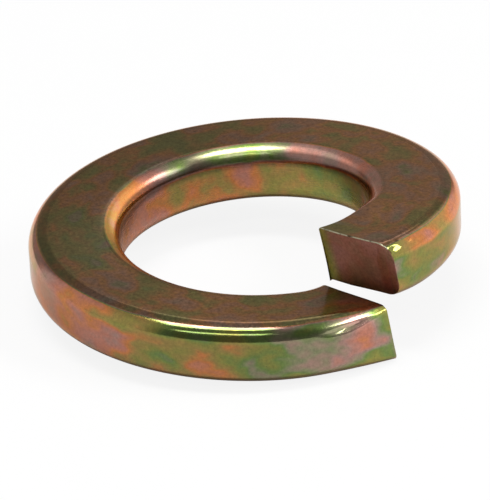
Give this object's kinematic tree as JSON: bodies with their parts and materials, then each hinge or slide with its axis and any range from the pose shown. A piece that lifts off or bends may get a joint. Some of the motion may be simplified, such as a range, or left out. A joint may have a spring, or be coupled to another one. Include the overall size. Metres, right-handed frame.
{
  "type": "spring lock washer",
  "caption": "Split helical spring lock washer of coiled flat wire with rolled edges, a slanted cut and ends sprung apart along the axis.",
  "frame": {"origin": "on the axis of the hole, at the height of the washer's lowest point", "axes": "+Z along the axis of the hole, towards the raised end; +X towards the cut; seen from +Z the wire climbs clockwise from the lower end to the upper end"},
  "size_m": [0.0141, 0.014, 0.0042],
  "materials": {
    "plated_steel": "hardened spring steel, zinc plated with an iridescent yellow chromate, satin"
  },
  "bodies": {
    "root": {"lock_washer": "plated_steel"}
  },
  "joints": []
}
